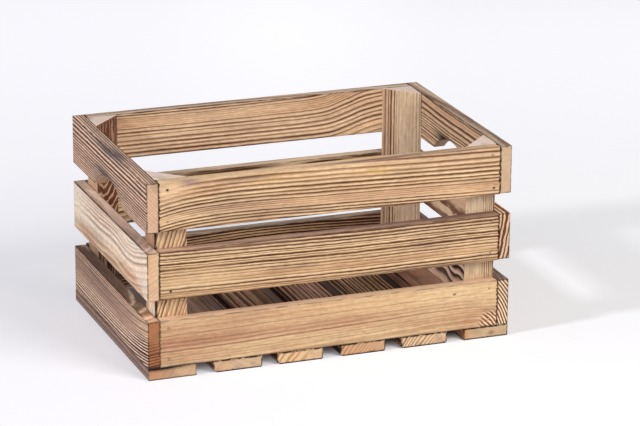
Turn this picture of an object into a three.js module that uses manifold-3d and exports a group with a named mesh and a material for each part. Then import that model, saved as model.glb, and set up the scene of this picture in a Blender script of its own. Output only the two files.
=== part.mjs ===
// Kindling box: a slatted crate of scorched pine.
// Millimetres, +Z up. X runs along the crate's length, Y from its front to its back.
// The origin is the centre of the footprint, on the surface that the crate stands on.
import * as THREE from 'three';
import { mergeVertices } from 'three/addons/utils/BufferGeometryUtils.js';
import Module from 'manifold-3d';

const wasm = await Module();
wasm.setup();

// Crate
const crateLength = 380;
const crateDepth = 248;

// Slats, three tiers on each side
const slatWidth = 48;
const slatThickness = 12;
const slatGap = 22;
const tierNames = ['bottom', 'middle', 'top'];

// Hand-holds, an arch cut into the lower edge of each top end slat
const handHoldWidth = 86;
const handHoldDepth = 16;
const archSides = 96;

// Triangular corner posts, the length of the two sides that meet at the right angle
const postLeg = 32;

// Bottom boards, laid front to back with at least this gap between them
const boardWidth = 48;
const boardThickness = 12;
const boardGap = 18;

// Brads
const bradRadius = 0.8;
const bradHeadRadius = 1.1;
const bradHeadThickness = 0.8;
const bradPoint = 2.5;
const bradSides = 8;
const bradInset = 9; // from the post's right-angled edge
const bradEdge = 8; // from the edge of the slat or board
const bradStagger = 5; // brads from two sides pass each other in a post
const bradTipCover = 5; // wood left in front of a brad's point
const bradRecess = 0.3; // head below the surface
const bradClearance = 0.3; // around a brad in its hole

// Sizes that follow
const halfLength = crateLength / 2;
const halfDepth = crateDepth / 2;
const innerHalfLength = halfLength - slatThickness;
const innerHalfDepth = halfDepth - slatThickness;
const tierPitch = slatWidth + slatGap;
const crateHeight = boardThickness + (tierNames.length - 1) * tierPitch + slatWidth;
const boardCount = Math.floor((crateLength + boardGap) / (boardWidth + boardGap));
const boardPitch = (crateLength - boardWidth) / (boardCount - 1);
const bradBite = postLeg - bradInset - bradTipCover;
const slatBradLength = slatThickness + bradBite - bradRecess;
const boardBradLength = boardThickness + bradBite - bradRecess;
const overshoot = 1; // a cutter runs this far past the face it enters

const woodColours = {
  post: 0xcfae86,
  slat: 0xc79d71,
  board: 0xa88665,
  brad: 0x4a3a30,
};

function woodMaterial(kind) {
  return new THREE.MeshStandardMaterial({
    color: woodColours[kind],
    roughness: 0.75,
    metalness: 0,
  });
}

function bradMaterial() {
  return new THREE.MeshStandardMaterial({
    color: woodColours.brad,
    roughness: 0.5,
    metalness: 0.8,
  });
}

function solidFrom(geometry) {
  const bare = geometry.clone();
  bare.deleteAttribute('normal');
  bare.deleteAttribute('uv');
  const merged = mergeVertices(bare);
  return new wasm.Manifold(new wasm.Mesh({
    numProp: 3,
    vertProperties: merged.attributes.position.array,
    triVerts: Uint32Array.from(merged.index.array),
  }));
}

function geometryFrom(solid) {
  const mesh = solid.getMesh();
  const geometry = new THREE.BufferGeometry();
  geometry.setAttribute('position', new THREE.BufferAttribute(mesh.vertProperties, 3));
  geometry.setIndex(new THREE.BufferAttribute(mesh.triVerts, 1));
  geometry.computeVertexNormals();
  return geometry;
}

// The wooden pieces are kept as solids by name, while holes are cut into them.
const woodenPieces = new Map();

function addWood(name, kind, geometry) {
  woodenPieces.set(name, { kind, solid: solidFrom(geometry) });
}

function cutWood(name, geometry) {
  const piece = woodenPieces.get(name);
  piece.solid = piece.solid.subtract(solidFrom(geometry));
}

function boxBetween(low, high) {
  const size = high.clone().sub(low);
  const centre = low.clone().add(high).multiplyScalar(0.5);
  const box = new THREE.BoxGeometry(size.x, size.y, size.z);
  return box.translate(centre.x, centre.y, centre.z);
}

// A brad points along -Y with the middle of its head's face at the origin.
// The grown profile is the hole that the brad lies in, open above the head.
function bradGeometry(length) {
  const profile = [
    new THREE.Vector2(0, -length),
    new THREE.Vector2(bradRadius, bradPoint - length),
    new THREE.Vector2(bradRadius, -bradHeadThickness),
    new THREE.Vector2(bradHeadRadius, -bradHeadThickness),
    new THREE.Vector2(bradHeadRadius, 0),
    new THREE.Vector2(0, 0),
  ];
  return new THREE.LatheGeometry(profile, bradSides);
}

function bradHoleGeometry(length) {
  const holeRadius = bradRadius + bradClearance;
  const headHoleRadius = bradHeadRadius + bradClearance;
  const bottom = -length - bradClearance;
  const seat = -bradHeadThickness - bradClearance;
  const top = bradRecess + overshoot;
  const profile = [
    new THREE.Vector2(0, bottom),
    new THREE.Vector2(holeRadius, bottom),
    new THREE.Vector2(holeRadius, seat),
    new THREE.Vector2(headHoleRadius, seat),
    new THREE.Vector2(headHoleRadius, top),
    new THREE.Vector2(0, top),
  ];
  return new THREE.LatheGeometry(profile, bradSides);
}

const brads = [];
const headUp = new THREE.Vector3(0, 1, 0);

// Drives a brad through the surface at a point, against the outward direction, into all the pieces named.
function driveBrad(name, surfacePoint, outward, length, pieceNames) {
  const turn = new THREE.Quaternion().setFromUnitVectors(headUp, outward);
  const head = surfacePoint.clone().addScaledVector(outward, -bradRecess);
  const hole = bradHoleGeometry(length).applyQuaternion(turn).translate(head.x, head.y, head.z);
  pieceNames.forEach((pieceName) => cutWood(pieceName, hole));
  brads.push({ name, turn, head, length });
}

function tierBase(tier) {
  return boardThickness + tier * tierPitch;
}

// Front and back slats lie between the end slats, which run the crate's full depth.
function addSlats() {
  tierNames.forEach((tierName, tier) => {
    const low = tierBase(tier);
    const high = low + slatWidth;
    addWood(`front_slat_${tierName}`, 'slat', boxBetween(
      new THREE.Vector3(-innerHalfLength, -halfDepth, low),
      new THREE.Vector3(innerHalfLength, -innerHalfDepth, high),
    ));
    addWood(`back_slat_${tierName}`, 'slat', boxBetween(
      new THREE.Vector3(-innerHalfLength, innerHalfDepth, low),
      new THREE.Vector3(innerHalfLength, halfDepth, high),
    ));
    addWood(`left_slat_${tierName}`, 'slat', boxBetween(
      new THREE.Vector3(-halfLength, -halfDepth, low),
      new THREE.Vector3(-innerHalfLength, halfDepth, high),
    ));
    addWood(`right_slat_${tierName}`, 'slat', boxBetween(
      new THREE.Vector3(innerHalfLength, -halfDepth, low),
      new THREE.Vector3(halfLength, halfDepth, high),
    ));
  });
}

// The arch is a circle through both ends of the notch and its highest point.
function cutHandHolds() {
  const halfWidth = handHoldWidth / 2;
  const archRadius = (halfWidth ** 2 + handHoldDepth ** 2) / (2 * handHoldDepth);
  const archCentre = tierBase(tierNames.length - 1) + handHoldDepth - archRadius;
  const cutterLength = crateLength + 2 * overshoot;
  const cutter = new THREE.CylinderGeometry(archRadius, archRadius, cutterLength, archSides);
  cutter.rotateZ(Math.PI / 2);
  cutter.translate(0, 0, archCentre);
  cutWood('left_slat_top', cutter);
  cutWood('right_slat_top', cutter);
}

// Each post stands on an outer bottom board, with its right angle in the crate's corner.
function addPost(name, sideX, sideY) {
  const cornerX = sideX * innerHalfLength;
  const cornerY = sideY * innerHalfDepth;
  const section = new THREE.Shape([
    new THREE.Vector2(cornerX, cornerY),
    new THREE.Vector2(cornerX - sideX * postLeg, cornerY),
    new THREE.Vector2(cornerX, cornerY - sideY * postLeg),
  ]);
  const post = new THREE.ExtrudeGeometry(section, {
    depth: crateHeight - boardThickness,
    bevelEnabled: false,
  });
  addWood(name, 'post', post.translate(0, 0, boardThickness));
}

function boardCentreX(index) {
  return -halfLength + boardWidth / 2 + index * boardPitch;
}

function addBottomBoards() {
  for (let index = 0; index < boardCount; index += 1) {
    const centre = boardCentreX(index);
    addWood(`bottom_board_${index + 1}`, 'board', boxBetween(
      new THREE.Vector3(centre - boardWidth / 2, -halfDepth, 0),
      new THREE.Vector3(centre + boardWidth / 2, halfDepth, boardThickness),
    ));
  }
}

const lengthSides = [{ name: 'left', sign: -1 }, { name: 'right', sign: 1 }];
const depthSides = [{ name: 'front', sign: -1 }, { name: 'back', sign: 1 }];

// At each corner of each tier, one brad comes in from the long side and one from the end.
// The one from the end sits lower, so that they pass each other inside the post.
function nailTierCorner(tierName, tier, sideX, sideY) {
  const bradHeight = tierBase(tier) + slatWidth - bradEdge;
  const post = `post_${sideY.name}_${sideX.name}`;
  const longSlat = `${sideY.name}_slat_${tierName}`;
  const endSlat = `${sideX.name}_slat_${tierName}`;
  const longPoint = new THREE.Vector3(
    sideX.sign * (innerHalfLength - bradInset),
    sideY.sign * halfDepth,
    bradHeight,
  );
  const endPoint = new THREE.Vector3(
    sideX.sign * halfLength,
    sideY.sign * (innerHalfDepth - bradInset),
    bradHeight - bradStagger,
  );
  const longOutward = new THREE.Vector3(0, sideY.sign, 0);
  const endOutward = new THREE.Vector3(sideX.sign, 0, 0);
  const longName = `brad_${sideY.name}_${tierName}_${sideX.name}`;
  const endName = `brad_${sideX.name}_${tierName}_${sideY.name}`;
  driveBrad(longName, longPoint, longOutward, slatBradLength, [longSlat, post]);
  driveBrad(endName, endPoint, endOutward, slatBradLength, [endSlat, post]);
}

// A bottom board is nailed from below into the middle of the slat above each of its ends.
// The brad stands on the board's edge that is nearer to the middle of the crate.
function nailBoardEnd(index, sideY) {
  const centre = boardCentreX(index);
  const inward = centre < 0 ? 1 : -1;
  const point = new THREE.Vector3(
    centre + inward * (boardWidth / 2 - bradEdge),
    sideY.sign * (halfDepth - slatThickness / 2),
    0,
  );
  const board = `bottom_board_${index + 1}`;
  const name = `brad_board_${index + 1}_${sideY.name}`;
  const outward = new THREE.Vector3(0, 0, -1);
  driveBrad(name, point, outward, boardBradLength, [board, `${sideY.name}_slat_bottom`]);
}

function nailCrate() {
  depthSides.forEach((sideY) => {
    lengthSides.forEach((sideX) => {
      tierNames.forEach((tierName, tier) => nailTierCorner(tierName, tier, sideX, sideY));
    });
    for (let index = 0; index < boardCount; index += 1) {
      nailBoardEnd(index, sideY);
    }
  });
}

function woodMesh(name, piece) {
  const mesh = new THREE.Mesh(geometryFrom(piece.solid), woodMaterial(piece.kind));
  mesh.name = name;
  return mesh;
}

function bradMesh(brad) {
  const mesh = new THREE.Mesh(bradGeometry(brad.length), bradMaterial());
  mesh.name = brad.name;
  mesh.quaternion.copy(brad.turn);
  mesh.position.copy(brad.head);
  return mesh;
}

addSlats();
cutHandHolds();
depthSides.forEach((sideY) => {
  lengthSides.forEach((sideX) => addPost(`post_${sideY.name}_${sideX.name}`, sideX.sign, sideY.sign));
});
addBottomBoards();
nailCrate();

const crate = new THREE.Group();
woodenPieces.forEach((piece, name) => crate.add(woodMesh(name, piece)));
brads.forEach((brad) => crate.add(bradMesh(brad)));

export default crate;
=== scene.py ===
import math

import bmesh
import bpy
from mathutils import Euler, Matrix, Quaternion, Vector, noise


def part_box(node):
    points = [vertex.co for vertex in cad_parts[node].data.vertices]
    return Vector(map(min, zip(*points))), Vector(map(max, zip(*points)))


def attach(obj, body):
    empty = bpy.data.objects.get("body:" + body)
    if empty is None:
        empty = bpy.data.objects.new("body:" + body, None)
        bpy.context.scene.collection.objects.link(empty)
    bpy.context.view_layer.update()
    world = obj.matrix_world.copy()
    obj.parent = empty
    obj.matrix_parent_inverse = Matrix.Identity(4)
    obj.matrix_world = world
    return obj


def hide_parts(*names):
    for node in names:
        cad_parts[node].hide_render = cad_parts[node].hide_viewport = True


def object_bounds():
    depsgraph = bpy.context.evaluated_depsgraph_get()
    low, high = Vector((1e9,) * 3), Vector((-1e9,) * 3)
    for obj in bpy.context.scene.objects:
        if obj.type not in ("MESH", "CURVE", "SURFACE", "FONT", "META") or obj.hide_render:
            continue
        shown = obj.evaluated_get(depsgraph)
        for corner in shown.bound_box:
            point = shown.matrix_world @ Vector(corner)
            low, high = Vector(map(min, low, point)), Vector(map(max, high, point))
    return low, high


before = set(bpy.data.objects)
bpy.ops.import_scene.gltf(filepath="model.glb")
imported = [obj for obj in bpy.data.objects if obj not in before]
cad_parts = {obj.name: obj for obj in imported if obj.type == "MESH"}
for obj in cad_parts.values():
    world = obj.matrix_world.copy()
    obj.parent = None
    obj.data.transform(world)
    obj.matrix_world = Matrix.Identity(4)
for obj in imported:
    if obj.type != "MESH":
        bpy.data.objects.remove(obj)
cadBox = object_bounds()
scene = bpy.context.scene
mm = 0.001


def tone(colour):  # a screen colour, 0 to 255, as the linear colour that a shader takes
    parts = [value / 255 for value in colour]
    linear = [p / 12.92 if p <= 0.04045 else ((p + 0.055) / 1.055) ** 2.4 for p in parts]
    return (*linear, 1)


def operator(operation, reflected=False):  # a Python operator that adds a Math node
    def act(self, other):
        pair = (other, self) if reflected else (self, other)
        return self.maths(operation, *pair)
    return act


class Wire:  # a shader socket that takes part in Python arithmetic
    def __init__(self, paint, socket):
        self.paint = paint
        self.socket = socket

    def maths(self, operation, *values):
        return self.paint.node("Math", {"operation": operation}, values)

    __add__ = operator("ADD")
    __radd__ = operator("ADD", True)
    __sub__ = operator("SUBTRACT")
    __rsub__ = operator("SUBTRACT", True)
    __mul__ = operator("MULTIPLY")
    __rmul__ = operator("MULTIPLY", True)
    __truediv__ = operator("DIVIDE")
    __pow__ = operator("POWER")
    atLeast = operator("MAXIMUM")
    atMost = operator("MINIMUM")

    def __abs__(self):
        return self.maths("ABSOLUTE", self)

    def root(self):
        return self.maths("SQRT", self)

    def floor(self):
        return self.maths("FLOOR", self)


class Paint:  # one material or world, and the few ways in which its nodes are made
    def __init__(self, owner):
        owner.use_nodes = True
        self.owner = owner
        self.tree = owner.node_tree
        self.tree.nodes.clear()

    def node(self, kind, settings=None, values=(), output=0):
        made = self.tree.nodes.new("ShaderNode" + kind)
        for name, setting in (settings or {}).items():
            if name == "stops":
                self.setStops(made.color_ramp, setting)
            elif name == "points":
                self.setPoints(made.mapping, setting)
            else:
                setattr(made, name, setting)
        pairs = values.items() if isinstance(values, dict) else enumerate(values)
        for place, value in pairs:
            if isinstance(value, Wire):
                self.tree.links.new(value.socket, made.inputs[place])
            elif made.inputs[place].type == "RGBA" and len(value) == 3:  # a screen colour
                made.inputs[place].default_value = tone(value)
            else:
                made.inputs[place].default_value = value
        if output is None:
            return made
        if isinstance(output, tuple):
            return [Wire(self, made.outputs[place]) for place in output]
        return Wire(self, made.outputs[output])

    def setStops(self, ramp, stops):
        for place, _ in stops[2:]:
            ramp.elements.new(place)
        for element, (place, colour) in zip(ramp.elements, stops):
            element.position = place
            element.color = colour

    def setPoints(self, mapping, points):
        curve = mapping.curves[0]
        for x, y in points[2:]:
            curve.points.new(x, y)
        for point, place in zip(curve.points, points):
            point.location = place
        mapping.update()

    def vector(self, *parts):
        return self.node("CombineXYZ", None, parts)

    def parts(self, vector):
        return self.node("SeparateXYZ", None, [vector], output=(0, 1, 2))

    def noise(self, vector, factors=None, shift=(0, 0, 0), detail=2, roughness=0.5):
        if factors:
            settings = {"operation": "MULTIPLY_ADD"}
            vector = self.node("VectorMath", settings, {0: vector, 1: factors, 2: shift})
        values = {"Vector": vector, "Scale": 1, "Detail": detail, "Roughness": roughness}
        return self.node("TexNoise", None, values)

    def ramp(self, value, start, end, low=0, high=1):  # a smooth step from low to high
        settings = {"interpolation_type": "SMOOTHSTEP"}
        return self.node("MapRange", settings, (value, start, end, low, high))

    def mix(self, factor, first, second, blend="MIX"):  # the node holds the factor between 0 and 1
        settings = {"data_type": "RGBA", "blend_type": blend}
        return self.node("Mix", settings, {0: factor, 6: first, 7: second}, output=2)

    def scaled(self, colour, factor):
        settings = {"operation": "SCALE"}
        return self.node("VectorMath", settings, {0: colour, "Scale": factor})

    def bell(self, distance):  # 1 at no distance, 0.37 at 1 and next to nothing at 2
        return self.node("Math", {"operation": "EXPONENT"}, [distance * distance * -1])

    def finish(self, shader, kind="OutputMaterial"):
        self.node(kind, None, {"Surface": shader}, output=None)
        return self.owner


# What every piece of scorched pine starts from. Places are millimetres on the board, as with a
# ruler laid on the face that is seen: u along the grain from the left or back end, v across it from
# the top edge, w in from that face. "axes" names the axes of u, v and w, and a capital is one that
# is followed from its high end. Colours are screen colours, 0 to 255.
pine = {
    "pith": (150, 40),  # v and w of the tree's pith
    "lean": (0, 0),  # how v and w of the pith move for each millimetre along u
    "bend": [(0, 0), (1, 0)],  # (share of the length, how much lower the lines run there)
    "spread": [(0, 0), (1, 0)],  # the same, for what comes on top of that at the lower edge
    "lines": [],  # (v where the lines don't bend, half width, darkness): the lines that stand out
    "shine": 0.5,  # how pale the wood is beside a dark line
    # Lines round a knot: (u, v, half length and half width of the place where they show, u and v of
    # their middle, ring, how much longer than wide a ring is, share of a ring that its line takes).
    "swirl": None,
    "ring": 3.2,  # from one dark line to the next, where none are listed
    "late": 0.34,  # share of a ring that is dark
    "depth": 0.75,  # how dark those lines are
    "within": 0.25,  # how much of them shows between the listed lines
    "fade": 0.55,  # how much paler the faintest lines are
    "waves": (0.9, 0.5, 0.3),  # slow, quick and fine wandering of the lines
    "knots": [],  # (u, v, radius, how far the lines bend round it)
    # On the face that v = 0 starts from, such as a slat's top, v runs on as -w in these two.
    "patches": [],  # (u, v, half length, half width, colour, strength, gain of the lines)
    "rim": None,  # (colour, strength, gain of the lines) of the whole face that v = 0 starts from
    "burnsAndShadows": [],  # (u, v, half length, half width, strength) of soot; along some lower edges, of painted shadow
    "pale": (246, 212, 172),
    "tan": (222, 180, 136),
    "line": (92, 55, 32),
    "glint": (255, 226, 190),
    "knot": ((132, 84, 52), (70, 42, 28)),  # inside and rim
    "stain": (86, 60, 44),  # round a brad's head
    # the colour of soot, also used for painted shadow along some lower edges
    "sootAndShadeTone": (84, 64, 57),
    "char": (62, 40, 30),  # the burnt edges
    "scorch": 0.25,  # scorched patches
    "arris": 0.85,  # how burnt the edges are, and how far in from them
    "arrisReach": 1.7,
    "crest": 1,  # how burnt the edges of the face that v = 0 starts from are, beside the others
    "sole": 0,  # how black the lowest millimetre of a bottom board is
    "seam": None,  # how dark the wood is where its left and right ends meet the end slats
    "seamLine": (48, 30, 20),
    "end": ((228, 192, 152), (160, 112, 70), 0.5),  # end grain: pale, line, contrast
    "endRing": None,  # from one dark line to the next on the end, where that isn't "ring"
    "endPatches": [],  # (v, w, half width, half thickness, colour, strength)
    "wider": (0, 0),  # how far the piece reaches past its CAD solid, to the left and to the right
    "taller": (0, 0),  # the same, below and above
    "lower": (0, 0),  # how far its lower long edges are rounded, on the left and on the right
    "handHold": False,  # whether it has one
    "cut": (190, 160, 134),  # the inside of the hand-hold
    "eased": 0.6,  # how far its edges are taken off
}
bendRange = 50  # the most that a bend can move the lines, down and up together


def onRulers(axes, low, high, place):  # x, y and z as u, v and w
    found = []
    for letter in axes:
        k = "xyz".index(letter.lower())
        found.append((high[k] - place[k] if letter.isupper() else place[k] - low[k]) / mm)
    return found


def fromMiddle(u, v, middleU, middleV, halfU, halfV):  # 0 in an ellipse's middle and 1 on its rim
    return (((u - middleU) / halfU) ** 2 + ((v - middleV) / halfV) ** 2).root()


def blot(paint, u, v, shown, ragged):  # 1 in an ellipse's middle, and fading past its ragged rim
    return paint.bell(fromMiddle(u, v, *shown) + ragged)


def bendOver(paint, points, share):
    settings = {"points": [(x, 0.5 + shift / bendRange) for x, shift in points]}
    return (paint.node("FloatCurve", settings, {"Value": share}) - 0.5) * bendRange


def ringRadius(paint, look, u, v, w, grain, length, width):
    share = u / length
    across = v - bendOver(paint, look["bend"], share)
    if look["spread"] != pine["spread"]:
        across = across - bendOver(paint, look["spread"], share) * (v / width)
    slow = paint.noise(grain, (0.006, 0.025, 0.025), detail=1) - 0.5
    quick = paint.noise(grain, (0.03, 0.12, 0.12)) - 0.5
    fine = paint.noise(grain, (0.12, 0.7, 0.7), detail=1) - 0.5
    for knotU, knotV, _, reach in look["knots"]:
        aside = v - knotV
        away = (((u - knotU) * 0.6) ** 2 + aside ** 2).root()
        across = across - aside * paint.bell(away / reach)
    pithV = look["pith"][0] + u * look["lean"][0]
    pithW = look["pith"][1] + u * look["lean"][1]
    big, small, tiny = look["waves"]
    radius = ((across - pithV) ** 2 + (w - pithW) ** 2).root()
    return radius + slow * big * 2 + quick * small * 2 + fine * tiny * 2


paleEdge = 0.9  # how far the paler wood reaches beside a listed line
linesInRamp = 5  # a ramp holds 32 stops at most
lineMargin = 4  # how far past the outermost listed lines the wood is theirs


def lineStops(lines):  # for a ramp: red is how dark the wood is, green how pale beside the line
    clear = (0, 0, 0, 1)
    stops = []
    for centre, half, dark in lines:
        start = centre - half * 1.3
        if not stops:
            stops.append((start - paleEdge, clear))
        elif start - stops[-1][0] > paleEdge * 2:
            stops.append((stops[-1][0] + paleEdge, clear))
            stops.append((start - paleEdge, clear))
        edge = (0, dark, 0, 1)
        profile = [(start, edge), (centre + half * 0.1, (dark, 0, 0, 1)), (centre + half, edge)]
        for place, colour in profile:
            stops.append((max(place, stops[-1][0] + 0.02), colour))
    stops.append((stops[-1][0] + paleEdge, clear))
    return stops


def listedLines(paint, look, radius):  # the lines that stand out, as ramps over the radius
    pithV, pithW = look["pith"]
    lines = []
    for v, half, dark in look["lines"]:
        distance = math.hypot(v - pithV, pithW)
        lines.append((distance, half * abs(v - pithV) / distance, dark))
    lines.sort()
    first = lines[0][0] - lineMargin
    span = lines[-1][0] + lineMargin - first
    share = (radius - first) / span
    found = (0, 0, 0)
    for part in range(0, len(lines), linesInRamp):
        stops = lineStops(lines[part:part + linesInRamp])
        stops = [((place - first) / span, colour) for place, colour in stops]
        ramp = paint.node("ValToRGB", {"stops": stops}, [share])
        found = paint.node("VectorMath", {"operation": "ADD"}, [found, ramp])
    dark, pale, _ = paint.parts(found)
    inside = paint.ramp(radius, first + 1, first + lineMargin)
    inside = inside * paint.ramp(radius, first + span - lineMargin, first + span - 1, 1, 0)
    return dark, pale, inside


def ringLines(paint, look, radius):  # the even lines, what is pale beside them and a tone for each
    stretch = paint.noise(paint.vector(radius * 0.045, look["seed"], 0), detail=1)
    count = radius / look["ring"] + stretch * 3
    ring = count.floor()
    part = count - ring
    settings = {"noise_dimensions": "1D"}
    chance = paint.node("TexWhiteNoise", settings, {"W": ring + look["seed"]}, output="Color")
    chanceDark, chanceWide, chanceTone = paint.parts(chance)
    start = 1 - (chanceWide * 0.8 + 0.6) * look["late"]
    rise = paint.ramp(part, start - 0.22, start + 0.12)
    fall = paint.ramp(part, 0.93, 1, 1, 0)
    lines = rise * fall * (1 - chanceDark * look["fade"])
    pale = paint.ramp(part, 0.02, 0.08) * paint.ramp(part, 0.14, 0.34, 1, 0)
    return lines, pale * (0.4 + chanceWide * 0.6), chanceTone


def swirlLines(paint, look, u, v, grain):  # the tight lines round a knot, and where they show
    *shown, knotU, knotV, ring, long, late = look["swirl"]
    wobble = paint.noise(grain, (0.09, 0.12, 0.12), (4, 4, 4)) - 0.5
    away = fromMiddle(u, v, *shown) + wobble * 0.5
    count = (((u - knotU) / long) ** 2 + (v - knotV) ** 2).root() / ring + wobble * 1.1
    part = count - count.floor()
    stripe = paint.ramp(part, 0.735 - late, 0.985 - late) * paint.ramp(part, 0.75, 0.97, 1, 0)
    return stripe, paint.ramp(away, 0.65, 1.1, 1, 0)


handHold = {"width": 88 * mm, "depth": 17 * mm, "sides": 128}


def archRadius():  # of the circle whose top is the hand-hold's arch
    halfWidth = handHold["width"] / 2
    return (halfWidth ** 2 + handHold["depth"] ** 2) / (2 * handHold["depth"])


def pineMaterial(look, low, high):
    paint = Paint(bpy.data.materials.new(look["node"] + "_pine"))
    metres = paint.parts(paint.node("TexCoord", output="Object"))
    u, v, w = onRulers(look["axes"], low, high, metres)
    length, width, thickness = onRulers(look["axes"].lower(), low, high, high)
    unfolded = v - w * paint.ramp(v, 0.3, 0.6, 1, 0)  # v, and -w on the face that v starts from
    grain = paint.vector(u + look["seed"] * 537, v, w)

    radius = ringRadius(paint, look, u, v, w, grain, length, width)
    rings, glints, chanceTone = ringLines(paint, look, radius)
    press = paint.noise(paint.vector(u * 0.014, radius * 0.5, look["seed"]))
    scorchNoise = paint.noise(grain, (0.012, 0.06, 0.06), (0, 7, 2), detail=3)
    patch = paint.noise(grain, (0.009, 0.045, 0.045), (5, 3, 1))

    # the wood between its lines
    colour = paint.mix(paint.ramp(patch, 0.34, 0.66), look["pale"], look["tan"])
    colour = paint.scaled(colour, 1.04 - chanceTone * 0.1)
    gain = 0.7 + press
    if look["rim"]:
        tint, strength, lineGain = look["rim"]
        here = paint.ramp(v, 0.3, 0.8, 1, 0) * (0.75 + patch * 0.5)
        colour = paint.mix(here * strength, colour, tint)
        gain = gain * (1 + here * lineGain)
    for *shown, tint, strength, lineGain in look["patches"]:
        here = blot(paint, u, unfolded, shown, (scorchNoise - 0.5) * 0.9)
        colour = paint.mix(here * strength, colour, tint)
        gain = gain * (1 + here * lineGain)

    # its lines and knots
    darkness = rings * look["depth"]
    if look["lines"]:
        found, pale, inside = listedLines(paint, look, radius)
        between = 1 - inside * (1 - look["within"])
        darkness = (darkness * between).atLeast(found)
        glints = (glints * between).atLeast(pale)
    if look["swirl"]:
        stripe, here = swirlLines(paint, look, u, v, grain)
        darkness = darkness * (1 - here) + stripe * here
        glints = glints * (1 - here) + (1 - stripe) * here
    colour = paint.mix((glints * gain).atMost(1) * look["shine"], colour, look["glint"])
    colour = paint.mix(darkness * gain, colour, look["line"])
    knotInside, knotRim = look["knot"]
    for knotU, knotV, size, _ in look["knots"]:
        away = (((u - knotU) * 0.75) ** 2 + (v - knotV) ** 2).root() + (patch - 0.5) * size
        colour = paint.mix(paint.ramp(away, size * 0.6, size * 1.3, 0.7, 0), colour, knotInside)
        rim = paint.bell((away - size) / (size * 0.22))
        colour = paint.mix(rim * 0.35, colour, knotRim)

    # fibres, mottling and flecks all over
    fibre = paint.noise(grain, (0.06, 0.75, 0.75), detail=4, roughness=0.75)
    mottle = paint.noise(grain, (0.16, 0.3, 0.3), (3, 1, 6), detail=3, roughness=0.6)
    flecks = paint.noise(grain, (0.2, 4, 4), (9, 0, 4), detail=1)
    colour = paint.scaled(colour, fibre * 1.2 + mottle * 0.44 + flecks * 0.36)

    # end grain
    toEnd = u.atMost(length - u)
    ends = paint.ramp(toEnd, 0.2, 0.55, 1, 0)
    speckle = paint.noise(grain, (0.05, 3.5, 3.5), roughness=0.7)
    endPale, endLine, endContrast = look["end"]
    endLines = darkness.atLeast(rings)
    if look["endRing"]:
        count = radius / look["endRing"]
        part = count - count.floor()
        endLines = paint.ramp(part, 0.25, 0.6) * paint.ramp(part, 0.75, 1, 1, 0)
    endColour = paint.mix(endLines * endContrast, endPale, endLine)
    for *shown, tint, strength in look["endPatches"]:
        here = blot(paint, v, w, shown, (speckle - 0.5) * 0.6)
        endColour = paint.mix(here * strength, endColour, tint)
    endColour = paint.scaled(endColour, 0.46 + speckle * 0.34 + patch * 0.2 + fibre * 0.54)
    colour = paint.mix(ends, colour, endColour)

    # what the flame left: patches of soot, and charred edges; along some lower edges the listed patches
    # are painted shadow instead
    sootAndShadow = paint.ramp(scorchNoise, 0.5, 0.72) * look["scorch"]
    for *shown, strength in look["burnsAndShadows"]:
        sootAndShadow = sootAndShadow.atLeast(blot(paint, u, unfolded, shown, (scorchNoise - 0.5) * 1.2) * strength)
    toV = v.atMost(width - v)
    toW = w.atMost(thickness - w)
    longEdge = (toV * toV + toW * toW).root()
    endEdge = (toEnd * toEnd + toV.atMost(toW) ** 2).root()
    edge = paint.ramp(longEdge.atMost(endEdge), 0.3, look["arrisReach"], 1, 0)
    edge = edge * paint.ramp(v, 1.5, 5, look["crest"], 1)
    dashes = paint.noise(grain, (0.05, 0.2, 0.2), (2, 5, 8))
    edge = edge * paint.ramp(dashes, 0.36, 0.6, 0.25, 1) * look["arris"]
    colour = paint.mix(sootAndShadow, colour, look["sootAndShadeTone"])
    colour = paint.mix(edge, colour, look["char"])

    if look["handHold"]:  # sooty round the arch, and paler inside it
        arch = archRadius() / mm
        middle = width - look["taller"][0] - handHold["depth"] / mm + arch
        away = ((u - length / 2) ** 2 + (v - middle) ** 2).root() - arch
        colour = paint.mix(paint.ramp(away, 0.6, 2.6, 0.6, 0), colour, look["char"])
        colour = paint.mix(paint.ramp(away, 0.25, 0.6, 0.9, 0), colour, look["cut"])
    if look["sole"]:
        burnt = paint.ramp(w + (dashes - 0.5) * 4, 0.6, 1.7, look["sole"], 0)
        colour = paint.mix(burnt, colour, look["char"])
    for point, _, seen in bradHeads.get(look["node"], []):
        headU, headV, headW = onRulers(look["axes"], low, high, point)
        away = ((u - headU) ** 2 * 0.6 + (v - headV) ** 2 + (w - headW) ** 2).root()
        stain = paint.ramp(away + (speckle - 0.5) * 1.2, 0.9, 1.8, seen * 0.7, 0)
        colour = paint.mix(stain, colour, look["stain"])
    if look["seam"]:
        dots = paint.noise(paint.vector(v * 0.24, w * 0.2, look["seed"]))
        seam = paint.ramp(toEnd - paint.ramp(dots, 0.4, 0.62) * 1.5, -0.1, 0.5, 1, 0)
        seam = seam * paint.ramp(u / length, 0.4, 0.6, *look["seam"])
        colour = paint.mix(seam, colour, look["seamLine"])

    height = darkness * 0.1 + fibre * 0.06 + flecks * 0.04 + ends * speckle * 0.06
    bump = paint.node("Bump", None, {"Strength": 0.6, "Distance": mm, "Height": height})
    wood = paint.node("BsdfPrincipled", None, {
        "Base Color": colour,
        "Roughness": 0.72 + fibre * 0.14 - darkness * 0.06,
        "Specular IOR Level": 0.14,
        "Normal": bump,
    })
    return paint.finish(wood)


def steelMaterial(name):
    dark, rusty, metallic = brad[name]
    paint = Paint(bpy.data.materials.new(name))
    place = paint.node("TexCoord", output="Object")
    rust = paint.noise(place, (900, 900, 900), detail=3)
    colour = paint.mix(paint.ramp(rust, 0.4, 0.65), dark, rusty)
    bump = paint.node("Bump", None, {"Strength": 0.4, "Distance": mm * 0.1, "Height": rust})
    steel = paint.node("BsdfPrincipled", None, {
        "Base Color": colour,
        "Metallic": metallic,
        "Roughness": 0.45 + rust * 0.25,
        "Normal": bump,
    })
    return paint.finish(steel)


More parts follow.
